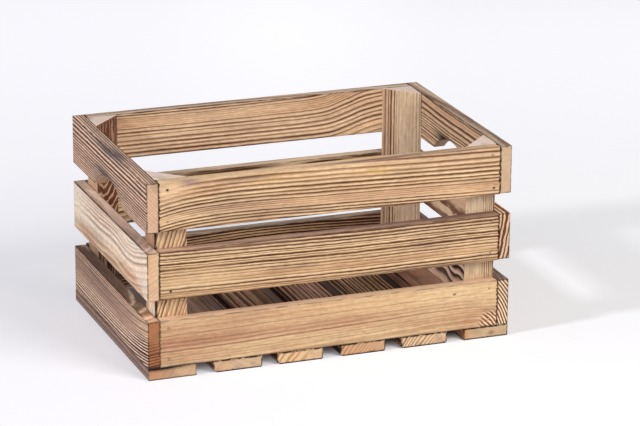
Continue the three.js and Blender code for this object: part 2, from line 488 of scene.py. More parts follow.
brad = {
    "shank": 0.8 * mm,
    "head": 1 * mm,
    "headHeight": 0.8 * mm,
    "eased": 0.15 * mm,
    "point": 2.5 * mm,
    "steps": 16,
    "pit": (0.05 * mm, 0.9 * mm),  # the gap round the head and the depth of the pit it lies in
    "scorched_steel": ((58, 46, 40), (92, 60, 40), 0.6),  # dark, rusty, metallic
    "rusty_steel": ((168, 128, 92), (196, 154, 114), 0.1),
    "seen": 0.12,  # how much a head stands out from the wood, for the pairs that aren't named here
    "pairs": {
        "brad_front_top_left": (1, 0.1),
        "brad_front_top_right": (0.3, 0.7),
        "brad_front_middle_left": (0.1, 0.8),
        "brad_front_middle_right": (0.45, 0.1),
        "brad_front_bottom_left": (0.5, 0.4),
        "brad_front_bottom_right": (0, 0.05),
    },
    "moved": {  # how far the second of a pair is from its place, in x, y and z
        "brad_front_top_right": (2.3 * mm, 0, -2.2 * mm),
        "brad_front_middle_left": (2.4 * mm, 0, -0.6 * mm),
    },
}
brads = {}  # node: the places of the pair's heads, the way they face and their length
bradHeads = {}  # board: the places of all heads in it, the way they face and how much they stand out


def placeBrads():
    for node in sorted(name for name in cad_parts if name.startswith("brad_")):
        low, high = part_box(node)
        centre = (low + high) / 2
        axis = max(range(3), key=lambda k: high[k] - low[k])
        outward = Vector((0, 0, 0))
        outward[axis] = -1 if axis == 2 or centre[axis] < 0 else 1
        place = centre.copy()
        place[axis] = low[axis] if outward[axis] < 0 else high[axis]
        words = node.split("_")
        board = f"bottom_board_{words[2]}" if words[1] == "board" else f"{words[1]}_slat_{words[2]}"
        across = 0 if axis == 2 else 2
        twin = place.copy()
        twin[across] = sum(corner[across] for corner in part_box(board)) - place[across]
        twin += Vector(brad["moved"].get(node, (0, 0, 0)))
        seen = brad["pairs"].get(node, (brad["seen"], brad["seen"]))
        brads[node] = ((place, twin), outward, high[axis] - low[axis], seen)
        bradHeads.setdefault(board, []).extend([(place, outward, seen[0]), (twin, outward, seen[1])])


placeBrads()


def meshFrom(shape, name):
    mesh = bpy.data.meshes.new(name)
    shape.to_mesh(mesh)
    shape.free()
    return mesh


def newPiece(name, shape, material):
    bmesh.ops.recalc_face_normals(shape, faces=shape.faces[:])
    piece = bpy.data.objects.new(name, meshFrom(shape, name))
    scene.collection.objects.link(piece)
    piece.data.materials.append(material)
    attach(piece, "root")
    return piece


def roundEdges(shape, edges, width, segments):
    bmesh.ops.bevel(shape, geom=edges, offset=width, segments=segments, profile=0.5, affect="EDGES",
                    clamp_overlap=True, material=-1)


# How the wood is rubbed away: at how many places along a board, how deep at most, and two noises,
# each with its dents to a metre and its strength.
rubbing = {"stations": 30, "depth": 0.35 * mm, "broad": (60, 0.5), "fine": (260, 0.35)}


def wear(shape, axis, low, high, seed):
    span = high[axis] - low[axis]
    normal = Vector((0, 0, 0))
    normal[axis] = 1
    for step in range(1, rubbing["stations"]):
        spot = Vector((0, 0, 0))
        spot[axis] = low[axis] + span * step / rubbing["stations"]
        geometry = shape.verts[:] + shape.edges[:] + shape.faces[:]
        bmesh.ops.bisect_plane(shape, geom=geometry, dist=1e-6, plane_co=spot, plane_no=normal)
    bmesh.ops.triangulate(shape, faces=shape.faces[:])
    centre = (low + high) / 2
    broad, broadStrength = rubbing["broad"]
    fine, fineStrength = rubbing["fine"]
    for vertex in shape.verts:
        rub = noise.noise(vertex.co * broad + Vector((seed, 0, 0))) * broadStrength
        rub += noise.noise(vertex.co * fine + Vector((0, seed, 0))) * fineStrength
        inward = centre - vertex.co
        inward[axis] = 0
        vertex.co += inward.normalized() * max(0.0, rub) * rubbing["depth"]


def cutAway(piece, shape):  # takes the shape out of the piece
    knife = bpy.data.objects.new("knife", meshFrom(shape, "knife"))
    scene.collection.objects.link(knife)
    cut = piece.modifiers.new("cut", "BOOLEAN")
    cut.operation = "DIFFERENCE"
    cut.solver = "EXACT"
    cut.object = knife
    graph = bpy.context.evaluated_depsgraph_get()
    mesh = bpy.data.meshes.new_from_object(piece.evaluated_get(graph))
    piece.modifiers.clear()
    old = piece.data
    piece.data = mesh
    for spent in (old, knife.data):  # the knife goes with its mesh
        bpy.data.meshes.remove(spent)


def rod(shape, start, end, radius, sides):
    turn = (end - start).to_track_quat("Z", "Y").to_matrix().to_4x4()
    place = Matrix.Translation((start + end) / 2) @ turn
    bmesh.ops.create_cone(shape, cap_ends=True, segments=sides, radius1=radius, radius2=radius,
                          depth=(end - start).length, matrix=place)


def cutHandHold(piece, node):  # an arch in the lower edge, through the thickness
    low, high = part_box(node)
    radius = archRadius()
    height = low.z + handHold["depth"] - radius
    shape = bmesh.new()
    start = Vector((low.x - mm, (low.y + high.y) / 2, height))
    end = Vector((high.x + mm, (low.y + high.y) / 2, height))
    rod(shape, start, end, radius, handHold["sides"])
    cutAway(piece, shape)


def cutPits(piece, heads):  # a pit for each brad's head
    gap, depth = brad["pit"]
    shape = bmesh.new()
    for point, outward, _ in heads:
        rod(shape, point + outward * 2 * mm, point - outward * depth, brad["head"] + gap, brad["steps"])
    cutAway(piece, shape)


def roundLower(shape, x, floor, reach):  # the lower long edge of a bottom board on one side
    near = 0.01 * mm
    edges = []
    for edge in shape.edges:
        if all(abs(vertex.co.x - x) < near and vertex.co.z - floor < near for vertex in edge.verts):
            edges.append(edge)
    roundEdges(shape, edges, reach, 4)


def finishWood(piece, look, low, high):
    axis = "xyz".index(look["axes"][0].lower())
    shape = bmesh.new()
    shape.from_mesh(piece.data)
    bmesh.ops.dissolve_limit(shape, angle_limit=0.01, verts=shape.verts[:], edges=shape.edges[:])
    for x, reach in zip((low.x, high.x), look["lower"]):
        if reach:
            roundLower(shape, x, low.z, reach * mm)
    sharp = [edge for edge in shape.edges if edge.calc_face_angle(0.0) > 0.5]
    roundEdges(shape, sharp, look["eased"] * mm, 2)
    wear(shape, axis, low, high, look["seed"])
    bmesh.ops.recalc_face_normals(shape, faces=shape.faces[:])
    shape.to_mesh(piece.data)
    shape.free()


def addWood(look, shape, low, high):
    node = look["node"]
    piece = newPiece(node + "_wood", shape, pineMaterial(look, low, high))
    if look["handHold"]:
        cutHandHold(piece, node)
    if node in bradHeads:
        cutPits(piece, bradHeads[node])
    finishWood(piece, look, low, high)
    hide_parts(node)


def addBoard(look):
    low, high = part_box(look["node"])
    low = low - Vector((look["wider"][0], 0, look["taller"][0])) * mm
    high = high + Vector((look["wider"][1], 0, look["taller"][1])) * mm
    shape = bmesh.new()
    place = Matrix.Translation((low + high) / 2) @ Matrix.Diagonal((*(high - low), 1))
    bmesh.ops.create_cube(shape, size=1, matrix=place)
    addWood(look, shape, low, high)


def addPost(look):
    low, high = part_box(look["node"])
    cornerX, farX = (low.x, high.x) if "left" in look["node"] else (high.x, low.x)
    cornerY, farY = (low.y, high.y) if "front" in look["node"] else (high.y, low.y)
    shape = bmesh.new()
    corners = [(cornerX, cornerY), (farX, cornerY), (cornerX, farY)]
    foot = shape.faces.new([shape.verts.new((x, y, low.z)) for x, y in corners])
    raised = bmesh.ops.extrude_face_region(shape, geom=[foot])["geom"]
    top = [item for item in raised if isinstance(item, bmesh.types.BMVert)]
    bmesh.ops.translate(shape, verts=top, vec=Vector((0, 0, high.z - low.z)))
    addWood(look, shape, low, high)


slat = {**pine, "slot": "slat_wood"}
longSlat = {**slat, "axes": "xZy", "seam": (1, 1)}
endSlat = {**slat, "axes": "YZx", "scorch": 0.1}

frontTop = {
    **longSlat,
    "node": "front_slat_top", "taller": (1.5, 0), "pith": (190, 60), "crest": 0.25,
    "bend": [(0, 7), (0.04, 4), (0.085, 1.8), (0.14, 0.5), (0.22, 0), (0.5, 2.4), (0.84, 5.8), (1, 7)],
    "lines": [
        (-3, 1.8, 0.75), (3, 1.9, 0.65), (8.2, 1.6, 0.68), (12.3, 1.7, 0.75), (16.8, 1.8, 0.92),
        (21, 1.4, 0.85), (24.3, 1.4, 0.9), (28, 1, 0.75), (30.2, 0.6, 0.4), (32.2, 0.6, 0.4),
        (34.2, 0.6, 0.45), (37.7, 1.2, 0.9), (41, 1.2, 0.95), (44, 1.4, 0.9), (47.5, 1.2, 0.85),
    ],
    "pale": (244, 202, 152), "tan": (210, 162, 114), "rim": ((228, 194, 154), 0.85, -0.7),
    "patches": [
        (8, 6, 22, 14, (240, 206, 166), 0.8, -0.9), (72, 31, 60, 6.5, (140, 94, 72), 0.85, 0.3),
        (240, 37, 100, 6.5, (172, 122, 96), 0.65, -0.1), (250, -3, 34, 3.6, (150, 122, 118), 0.9, 0),
        (110, 8, 16, 3, (214, 172, 96), 0.5, -0.3), (225, 11.5, 20, 3, (218, 176, 96), 0.7, -0.5),
        (330, 8, 60, 12, (182, 136, 108), 0.4, 0.25), (340, 42, 30, 6, (220, 172, 128), 0.5, -0.4),
        (82, 4.8, 30, 1.9, (140, 100, 78), 1.2, 0), (32, 1.5, 11, 3.2, (152, 126, 122), 1, -0.5),
        (205, -2.5, 54, 2.6, (134, 100, 88), 1.1, 0), (300, -6, 50, 6, (170, 134, 110), 0.7, 0),
    ],
    "burnsAndShadows": [(320, -1, 34, 1.6, 0.7)],
}
frontMiddle = {
    **longSlat,
    "node": "front_slat_middle", "taller": (0.8, 0), "pith": (-200, 60), "waves": (1, 0.7, 0.4),
    "shine": 0.85, "seam": (0.75, 1),
    "bend": [(0, -4.8), (0.28, -1.8), (0.5, 0), (0.73, 0.8), (1, 1.2)],
    "spread": [(0, 2.8), (0.28, 1), (0.5, 0), (0.73, -0.4), (1, -0.6)],
    "lines": [
        (1, 1.6, 0.85), (4.6, 1.8, 0.9), (8, 1.3, 0.85), (11.5, 1, 0.8), (13.6, 0.6, 0.5),
        (16.6, 1.5, 0.98), (19.2, 0.7, 0.5), (22, 1.9, 0.8), (25.2, 0.9, 0.55), (28.6, 1.2, 0.65),
        (31.6, 0.8, 0.45), (35, 0.7, 0.3), (37.6, 0.8, 0.5), (41.3, 1.3, 0.95), (44.6, 1.2, 0.7),
    ],
    "pale": (208, 164, 118), "tan": (169, 122, 85), "line": (88, 48, 27), "glint": (255, 222, 178),
    "rim": ((186, 150, 136), 0.95, -0.7),
    "patches": [
        (240, 2, 190, 9, (116, 80, 62), 0.8, 0.1), (96, 1.6, 40, 3, (104, 76, 66), 0.95, -0.5),
        (110, 19, 34, 7, (160, 112, 84), 0.7, 0.3), (150, 24, 60, 6, (180, 132, 98), 0.5, 0.1),
        (290, 22, 60, 6, (176, 126, 96), 0.6, 0.3), (30, 34, 70, 12, (230, 194, 148), 0.7, -0.3),
        (330, 34, 40, 12, (206, 162, 120), 0.5, 0.1), (280, 46, 60, 4, (128, 88, 60), 0.5, 0.3),
        (330, -6, 70, 10, (112, 82, 72), 0.8, -0.3), (30, -6, 60, 10, (196, 156, 132), 0.6, 0),
        (226, -6, 90, 10, (136, 106, 94), 0.7, 0),
    ],
    "burnsAndShadows": [(300, 49, 55, 2.5, 0.9)],
}
frontBottom = {
    **longSlat,
    "node": "front_slat_bottom", "pith": (130, -60), "ring": 4.5, "depth": 0.2, "within": 0.12,
    "shine": 0.3, "scorch": 0.1, "arris": 0.6, "seam": (0.5, 1),
    "bend": [(0, 3.2), (0.22, 1.7), (0.5, 0), (1, -0.3)],
    "spread": [(0, 0.2), (0.22, 1.6), (0.33, 1), (0.5, 0), (0.7, -3), (0.84, -5), (0.93, -5), (1, -1)],
    "lines": [
        (13.3, 0.9, 0.45), (20.5, 1.4, 0.25), (24.5, 1.2, 0.3), (28.7, 1.2, 0.6), (34.8, 1, 0.35),
        (37.6, 0.7, 0.25), (40, 0.8, 0.3),
    ],
    "swirl": (350, 43, 15, 13, 304, 82, 3.4, 1, 0.435), "knots": [(309, 9.5, 1.2, 2.5)],
    "pale": (225, 192, 148), "tan": (202, 162, 124), "line": (132, 84, 56),
    "rim": ((232, 192, 160), 0.8, -0.6),
    "patches": [
        (45, 25, 80, 7.5, (174, 122, 95), 0.9, 0.2), (190, 23, 110, 7, (186, 138, 104), 0.65, 0),
        (250, 8, 130, 9, (228, 190, 142), 0.6, -0.2), (325, 40, 26, 8, (196, 146, 106), 0.6, 0),
        (347, 30, 11, 2.2, (128, 78, 48), 0.9, 0), (320, 12, 60, 13, (232, 202, 158), 0.5, -0.3),
        (350, 42, 12, 9, (244, 212, 176), 0.9, 0.5), (352, 16, 22, 14, (224, 190, 146), 0.7, -0.9),
        # Painted shadow along the lower edge, where the slat meets the bottom boards: this dark patch and
        # the burn below.
        (22, 48.6, 26, 2, (40, 26, 20), 1.2, -0.9),
    ],
    "burnsAndShadows": [(178, 48.5, 300, 1.4, 0.8)],
}
backTop = {
    **longSlat,
    "node": "back_slat_top", "pith": (190, 70), "shine": 0.7, "scorch": 0.12, "arris": 1,
    "bend": [
        (0, 0), (0.62, 0), (0.68, -0.8), (0.725, -2.5), (0.753, -5), (0.781, -8.5), (0.809, -11.5),
        (0.837, -14.5), (0.865, -16.5), (0.9, -17.5), (1, -18),
    ],
    "spread": [
        (0, 0), (0.66, 0.3), (0.725, 2), (0.753, 3.8), (0.781, 5.5), (0.809, 6.2), (0.837, 6.5),
        (0.865, 6), (0.9, 4.5), (1, 3),
    ],
    "lines": [
        (2, 1.3, 0.8), (5.2, 1, 0.55), (7.2, 0.7, 0.3), (9.6, 0.7, 0.25), (12.5, 0.8, 0.25),
        (17, 1.1, 0.65), (21.4, 1.4, 0.85), (25, 1.1, 0.6), (30, 1.7, 0.7), (34.5, 1.5, 0.9),
        (38.8, 1.3, 0.7), (43.2, 1.9, 0.98), (47.4, 1.3, 0.8), (53, 1.5, 0.75), (58, 1.5, 0.65),
        (63.5, 1.3, 0.55),
    ],
    "pale": (246, 204, 164), "tan": (214, 166, 128), "line": (102, 54, 32),
    "rim": ((200, 178, 160), 0.9, -0.4),
    "patches": [
        (270, 6, 40, 8, (206, 158, 116), 0.6, 0.3), (300, 42, 30, 8, (232, 196, 150), 0.6, -0.3),
        (120, -7, 90, 4, (160, 128, 106), 0.6, 0),
    ],
}
backMiddle = {
    **longSlat,
    "node": "back_slat_middle", "pith": (60, -30), "lean": (0, 0.12), "ring": 3.4, "depth": 0.9,
    "scorch": 0.5,
    "pale": (244, 212, 172), "tan": (226, 188, 146), "rim": ((220, 194, 168), 0.9, -0.7),
    "patches": [
        (215, 3, 60, 7, (236, 206, 166), 0.8, -0.8), (150, 2.6, 46, 1.8, (84, 48, 30), 2.2, -0.5),
        (166, 3.4, 15, 3, (84, 48, 30), 2.4, -0.5), (258, 3.6, 24, 1.4, (84, 48, 30), 1.6, -0.5),
        (310, 1.8, 22, 1.6, (84, 48, 30), 1.6, -0.5),
    ],
}
backBottom = {
    **longSlat,
    "node": "back_slat_bottom", "taller": (0, 1.7), "pith": (190, 60), "ring": 3.3, "late": 0.5,
    "depth": 0.95, "fade": 0.3, "scorch": 0.3,
    "bend": [(0, 13), (0.12, 9.5), (0.28, 3), (0.45, 0.4), (0.6, 0), (0.8, 2.5), (1, 6)],
    "pale": (226, 184, 142), "tan": (190, 146, 110), "line": (66, 40, 26),
    "rim": ((194, 172, 156), 0.95, -0.7),
    # The first patch is painted shade on the slat's left end, seen deep inside the crate.
    "patches": [(40, 34, 40, 34, (46, 34, 28), 0.97, -0.3), (310, 9, 60, 14, (130, 84, 58), 0.8, 0.5)],
}

leftTop = {
    **endSlat,
    "node": "left_slat_top", "handHold": True, "taller": (2, 0), "pith": (-78, 127),
    "waves": (0.6, 0.35, 0.3), "shine": 0.85, "scorch": 0.25,
    "bend": [(0, -0.3), (0.5, 0), (1, 0.8)],
    "lines": [
        (-19.6, 2.4, 0.9), (-14.8, 2.2, 0.9), (-10.2, 2.2, 0.95), (-5, 1.8, 0.9), (1.5, 1.5, 0.85),
        (5, 1.5, 0.95), (9.5, 1.8, 1), (14.6, 2, 1), (19, 1.6, 1), (22.3, 1.25, 0.95), (25.5, 1.25, 0.9),
        (28.6, 1.35, 1), (31.6, 1.35, 1), (34.4, 1.15, 0.95), (37, 1.15, 0.9), (39.4, 1, 0.9),
        (41.6, 1, 0.85), (44.2, 1, 0.8), (47, 0.9, 0.6),
    ],
    "pale": (196, 149, 118), "tan": (149, 106, 81), "line": (66, 30, 18), "glint": (255, 220, 192),
    "sootAndShadeTone": (78, 72, 76), "cut": (214, 182, 150), "rim": ((208, 176, 150), 0.6, 0),
    "end": ((228, 190, 158), (164, 122, 96), 0.4),
    "patches": [(215, 26, 50, 20, (220, 178, 144), 0.6, 0), (20, 36, 40, 12, (212, 166, 146), 0.5, -0.3)],
    "burnsAndShadows": [(125, 2, 42, 5, 0.9), (150, -3, 30, 4, 0.9), (108, 29, 28, 3.6, 0.9)],
}
leftMiddle = {
    **endSlat,
    "node": "left_slat_middle", "taller": (1, 0), "pith": (90, 34), "ring": 5, "depth": 0.25,
    "within": 0.15,
    "bend": [(0, 3), (0.2, 1), (0.36, 1), (0.57, -1.5), (0.73, 2), (0.81, 1), (0.9, -4), (1, -11)],
    "lines": [
        (3, 1.6, 0.32), (6.8, 1.6, 0.36), (10.6, 1.7, 0.5), (15.2, 1.9, 0.55), (22, 2.5, 0.62),
        (30, 2, 0.2), (37, 2.4, 0.25),
    ],
    "pale": (255, 236, 216), "tan": (255, 226, 198), "line": (150, 106, 74), "glint": (255, 240, 226),
    "rim": ((214, 182, 164), 0.95, -0.3), "end": ((226, 190, 152), (176, 134, 98), 0.3),
    "patches": [
        (14, 20, 34, 40, (246, 230, 208), 0.8, -0.8), (56, 42, 64, 9, (190, 144, 104), 1, 0.3),
        (84, 34, 26, 5, (196, 178, 150), 0.6, 0), (196, 41, 32, 8, (208, 150, 106), 1, 0.3),
        (130, 44, 50, 8, (190, 148, 110), 0.9, 0.3), (95, 12, 50, 14, (232, 198, 172), 0.5, 0.3),
        (90, -1, 60, 3.5, (140, 106, 88), 0.5, 0), (124, 0.1, 400, 0.9, (58, 40, 34), 1, 0),
        (236, 40, 10, 9, (240, 222, 200), 0.8, 0), (224, 46, 12, 4, (196, 140, 100), 0.8, 0),
        (165, 38, 16, 4, (190, 146, 106), 0.8, 0),
    ],
    "endPatches": [(13, 1, 16, 4, (230, 180, 132), 0.7)],
}
leftBottom = {
    **endSlat,
    "node": "left_slat_bottom", "pith": (230, 30), "ring": 2.7, "depth": 0.45, "within": 0.4,
    "shine": 0.9, "scorch": 0.3,
    "bend": [(0, 0), (0.7, 0), (0.85, -2.5), (1, -8)],
    "lines": [
        (9.5, 2, 0.3), (17.5, 2, 0.25), (24, 1, 0.3), (26.4, 0.8, 0.4), (28.8, 0.9, 0.6), (31.8, 1, 0.8),
        (34.8, 1, 0.88), (37.8, 1.1, 0.92), (41.6, 1.4, 1), (44.6, 1, 0.92), (47.6, 1, 0.9),
        (50.6, 1, 0.9), (53.6, 1, 0.9),
    ],
    "pale": (208, 168, 142), "tan": (168, 130, 110), "line": (62, 32, 22), "glint": (252, 218, 192),
    "rim": ((140, 112, 94), 0.95, -0.4), "end": ((174, 116, 78), (66, 34, 22), 1),
    "patches": [
        (232, 20, 34, 32, (224, 182, 146), 0.75, 1.2), (90, 12, 120, 14, (130, 98, 84), 0.85, 0.2),
        (20, 16, 40, 30, (132, 102, 88), 0.5, 0), (60, -6, 70, 10, (84, 66, 58), 0.8, 0),
        (196, -6, 6, 8, (190, 164, 132), 0.9, 0), (214, -6, 5, 8, (206, 178, 146), 0.9, 0),
        # Painted shadow along the lower edge, where the slat meets the bottom board: the last patch here,
        # the burn and the last end patch.
        (236, -6, 14, 12, (232, 188, 150), 1, 0), (124, 48.6, 400, 1.5, (44, 28, 22), 1, -1),
    ],
    "burnsAndShadows": [(124, 49, 200, 2, 0.8)],
    "endPatches": [(8, 6, 16, 12, (178, 122, 84), 0.9), (48.6, 6, 3, 20, (34, 20, 16), 1.3)],
}
rightTop = {
    **endSlat,
    "node": "right_slat_top", "handHold": True, "taller": (1, 0), "pith": (200, 60),
    "waves": (1.3, 0.8, 0.3), "shine": 0.75, "arris": 1,
    "bend": [(0, 0), (0.2, 0), (0.4, 1.5), (1, 2)],
    "lines": [
        (0.5, 1.4, 0.8), (8.6, 2.2, 0.95), (14.8, 1.9, 0.92), (20.4, 1.2, 0.9), (23.4, 1, 0.9),
        (26.6, 1, 0.85), (29.4, 1, 0.75), (32, 0.8, 0.6), (35.4, 1.2, 0.95), (39.4, 1.2, 0.92),
        (42.6, 1, 0.75), (46.8, 1.3, 0.8),
    ],
    "pale": (252, 216, 174), "tan": (226, 180, 139), "line": (88, 46, 26), "sootAndShadeTone": (48, 34, 30),
    "cut": (184, 158, 134), "rim": ((170, 146, 130), 0.95, -0.4),
    "end": ((210, 178, 146), (182, 150, 120), 0.3),
    "patches": [
        (92, -2.5, 60, 2.6, (100, 74, 60), 0.9, 0), (150, -5, 18, 3.6, (84, 68, 72), 0.9, 0),
        (216, -2, 36, 2.6, (66, 48, 50), 0.9, 0), (222, -8, 40, 1.8, (132, 104, 90), 0.7, 0),
    ],
    "burnsAndShadows": [(104, 33, 20, 6, 1)],
}
rightMiddle = {
    **endSlat,
    "node": "right_slat_middle", "pith": (-24, -230), "ring": 4.6, "late": 0.5, "depth": 0.8,
    "fade": 0.25, "waves": (2.2, 1.4, 0.2),
    "pale": (255, 224, 190), "tan": (240, 200, 164), "line": (120, 74, 50),
    "rim": ((206, 174, 146), 0.4, 0.9), "end": ((226, 190, 150), (100, 62, 42), 1.6),
}
rightBottom = {
    **endSlat,
    "node": "right_slat_bottom", "pith": (43.8, -83), "lean": (0.12, 0), "ring": 4, "late": 0.5,
    "depth": 0.95, "fade": 0.3, "shine": 0.9,
    "bend": [
        (0, 0), (0.3, 0), (0.38, 2.5), (0.46, -1), (0.54, 3), (0.62, -1.5), (0.7, 2), (0.82, 0), (1, 0),
    ],
    "pale": (250, 216, 188), "tan": (220, 182, 154), "line": (54, 32, 24), "glint": (255, 238, 220),
    "rim": ((112, 88, 82), 0.95, -0.8), "end": ((244, 214, 176), (100, 62, 42), 1.2), "endRing": 2.9,
}

postTop = ((238, 214, 200), (206, 182, 164), 0.35)
post = {**pine, "axes": "Zxy", "slot": "post_wood", "arris": 0, "end": postTop, "eased": 0.35}
postFrontLeft = {
    **post,
    "node": "post_front_left", "pith": (-70, -60), "lean": (-0.34, 0), "ring": 4, "late": 0.36,
    "fade": 0.6, "waves": (1.6, 1, 0.4),
    "pale": (246, 212, 170), "tan": (228, 190, 148), "line": (112, 72, 44),
    # The left face is painted darker: painted shade where the end slats cover it.
    "rim": ((186, 144, 116), 0.95, -0.8),
    "patches": [(142, -13, 24, 10, (255, 232, 204), 1.5, 0), (100, -0.6, 900, 1.9, (44, 28, 20), 2.6, 0)],
}
postFrontRight = {
    **post,
    "node": "post_front_right", "pith": (160, 0), "depth": 0.1, "within": 0.1, "shine": 0.25,
    "lines": [
        (17, 0.4, 0.3), (19.5, 0.5, 0.6), (22, 0.6, 0.85), (24.2, 0.5, 0.75), (26.4, 0.6, 0.9),
        (28.4, 0.5, 0.7), (30.8, 0.9, 0.95),
    ],
    "pale": (228, 204, 172), "tan": (212, 182, 146),
}
postBackLeft = {
    **post,
    "node": "post_back_left", "pith": (10, 22), "lean": (-0.02, 0.02), "ring": 3.4, "late": 0.26,
    "depth": 0.7, "fade": 0.3, "waves": (4, 5, 0.3), "shine": 0, "scorch": 0.6,
    "swirl": (80, 14, 34, 30, 52, 12, 6.2, 1.5, 0.27),
    "pale": (106, 70, 52), "tan": (84, 52, 38), "line": (214, 168, 136),
    "rim": ((222, 184, 150), 0.95, -0.8),
    "patches": [
        # The second patch is painted shade on the post's lower part, deep inside the crate.
        (8, 16, 34, 40, (98, 62, 45), 0.8, -0.4), (170, 16, 46, 60, (40, 28, 22), 0.97, -0.3),
        (54, 11, 9, 8, (196, 158, 116), 0.9, -0.8),
    ],
}
postBackRight = {
    **post,
    "node": "post_back_right", "pith": (-200, 232), "depth": 0.4, "within": 0.1, "shine": 0.45,
    "scorch": 0.08, "arris": 0.9, "arrisReach": 1.5, "crest": 0,
    "lines": [
        (-32, 2.4, 0.5), (-25.5, 1.4, 0.7), (-20.8, 2.4, 1), (-14.7, 1.4, 1), (-10.7, 0.9, 0.5),
        (-6.3, 0.9, 0.4), (6.9, 0.9, 0.2), (17.2, 0.9, 0.2),
    ],
    "pale": (248, 220, 186), "tan": (234, 204, 168), "line": (98, 46, 28),
    "patches": [(100, 1, 300, 9, (184, 136, 106), 0.75, 0)],
}

floorBoard = {
    **pine,
    "axes": "yxz", "slot": "board_wood", "late": 0.36, "depth": 0.9, "fade": 0.6, "scorch": 0.45,
    "arris": 1.1, "arrisReach": 2.1, "sole": 0.95,
    "pale": (186, 154, 130), "tan": (150, 118, 98), "line": (64, 42, 32), "glint": (240, 206, 178),
    "sootAndShadeTone": (62, 44, 36), "char": (34, 24, 20), "rim": ((108, 80, 64), 0.9, -0.2),
}
floorLooks = [
    {"wider": (0, 1.2), "lower": (1, 0.8), "pith": (-30, 50), "ring": 4.5, "scorch": 0.2, "arris": 0.7,
     "sole": 0.6, "rim": ((150, 122, 110), 1, -0.5), "end": ((208, 172, 138), (170, 128, 98), 0.3),
     "endPatches": [
         (6, 6, 13, 9, (196, 142, 104), 0.8), (36, 3, 9, 5, (220, 182, 146), 0.7),
         # Painted shadow along the top of the end, under the front slat.
         (10, 12.4, 26, 2.8, (40, 26, 20), 1.4),
     ]},
    {"wider": (0, 2.6), "lower": (4.2, 2), "pith": (64, 66), "ring": 3.6,
     "rim": ((124, 90, 66), 0.9, 0.6), "end": ((214, 182, 150), (176, 142, 112), 0.3),
     "patches": [(124, 24, 200, 60, (146, 118, 104), 0.95, -0.85)],
     "endPatches": [(8, 6, 9, 9, (222, 182, 140), 0.8), (26, 3, 5, 4, (176, 150, 128), 0.7)]},
    {"lower": (3.4, 1.6), "pith": (84, -54), "ring": 6.6, "late": 0.4, "fade": 0.35,
     "waves": (1.8, 1, 0.4),
     "rim": ((92, 62, 46), 0.95, 0.3), "end": ((232, 196, 152), (164, 112, 74), 0.85),
     "patches": [(150, 44, 200, 12, (146, 118, 100), 0.8, -0.6)],
     "endPatches": [(42, 6, 16, 20, (224, 190, 150), 0.95)]},
    {"lower": (3.2, 1.8), "pith": (94, -54), "ring": 3.8, "fade": 0.5, "waves": (1.4, 1, 0.4),
     "pale": (176, 140, 124), "rim": ((64, 44, 34), 0.95, 0),
     "end": ((213, 169, 129), (140, 92, 62), 0.8),
     "endPatches": [(42, 6, 14, 20, (210, 169, 132), 0.9)]},
    {"wider": (1.4, 0), "lower": (3.4, 2.2), "pith": (84, -44), "ring": 3.4, "late": 0.46, "fade": 0.35,
     "shine": 0.7,
     "pale": (190, 160, 128), "tan": (166, 136, 108), "rim": ((110, 78, 56), 0.95, 0.2),
     "end": ((230, 198, 160), (140, 98, 66), 0.9),
     "endPatches": [(44, 6, 10, 20, (224, 190, 154), 0.9)]},
    {"lower": (1, 1), "pith": (30, 60), "ring": 5,
     # Its left face is painted dark as shade deep in, and its front end paler as lit: painted shade and
     # painted light, in the rim and the second patch.
     "rim": ((84, 58, 44), 0.9, -0.2), "end": ((212, 182, 146), (166, 136, 108), 0.2),
     "patches": [(124, 24, 200, 60, (196, 154, 134), 0.95, -0.85), (2, -6, 14, 30, (184, 132, 88), 1, 0)],
     "endPatches": [
         (1, 6, 5, 12, (206, 150, 106), 0.9), (30, 5, 4, 3, (140, 108, 84), 0.8),
         (14, 8, 9, 4, (178, 146, 114), 0.7), (42, 4, 6, 5, (184, 156, 124), 0.7),
     ]},
]

# The seed gives each piece its own grain.
for seed, look in enumerate((frontTop, frontMiddle, frontBottom, backTop, backMiddle, backBottom), 1):
    addBoard({**look, "seed": seed})
print("front and back slats made")
for seed, look in enumerate((leftTop, leftMiddle, leftBottom, rightTop, rightMiddle, rightBottom), 7):
    addBoard({**look, "seed": seed})
print("end slats made")
for seed, look in enumerate((postFrontLeft, postFrontRight, postBackLeft, postBackRight), 21):
    addPost({**look, "seed": seed})
print("posts made")
for number, look in enumerate(floorLooks, 1):
    addBoard({**floorBoard, **look, "node": f"bottom_board_{number}", "seed": 30 + number})
print("bottom boards made")


def addBrad(name, place, outward, length, steel):
    shape = bmesh.new()
    outline = [
        (0, -length),
        (brad["shank"], brad["point"] - length),
        (brad["shank"], -brad["headHeight"] * 1.4),
        (brad["head"], -brad["headHeight"] * 0.5),
        (brad["head"], -brad["eased"]),
        (brad["head"] - brad["eased"], 0),
        (0, 0),
    ]
    points = [shape.verts.new((radius, 0, height)) for radius, height in outline]
    edges = [shape.edges.new(pair) for pair in zip(points, points[1:])]
    bmesh.ops.spin(shape, geom=points + edges, cent=(0, 0, 0), axis=(0, 0, 1), angle=math.tau,
                   steps=brad["steps"], use_merge=True)
    bmesh.ops.remove_doubles(shape, verts=shape.verts[:], dist=1e-6)
    turn = outward.to_track_quat("Z", "Y").to_matrix().to_4x4()
    bmesh.ops.transform(shape, matrix=Matrix.Translation(place) @ turn, verts=shape.verts[:])
    return newPiece(name, shape, steel)


scorchedSteel = steelMaterial("scorched_steel")
rustySteel = steelMaterial("rusty_steel")
for node, (places, outward, length, seen) in brads.items():
    for name, place, shown in zip((node + "_steel", node + "_twin"), places, seen):
        piece = addBrad(name, place, outward, length, scorchedSteel if shown > 0.5 else rustySteel)
        if place is places[0]:
            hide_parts(node)
print("brads made")

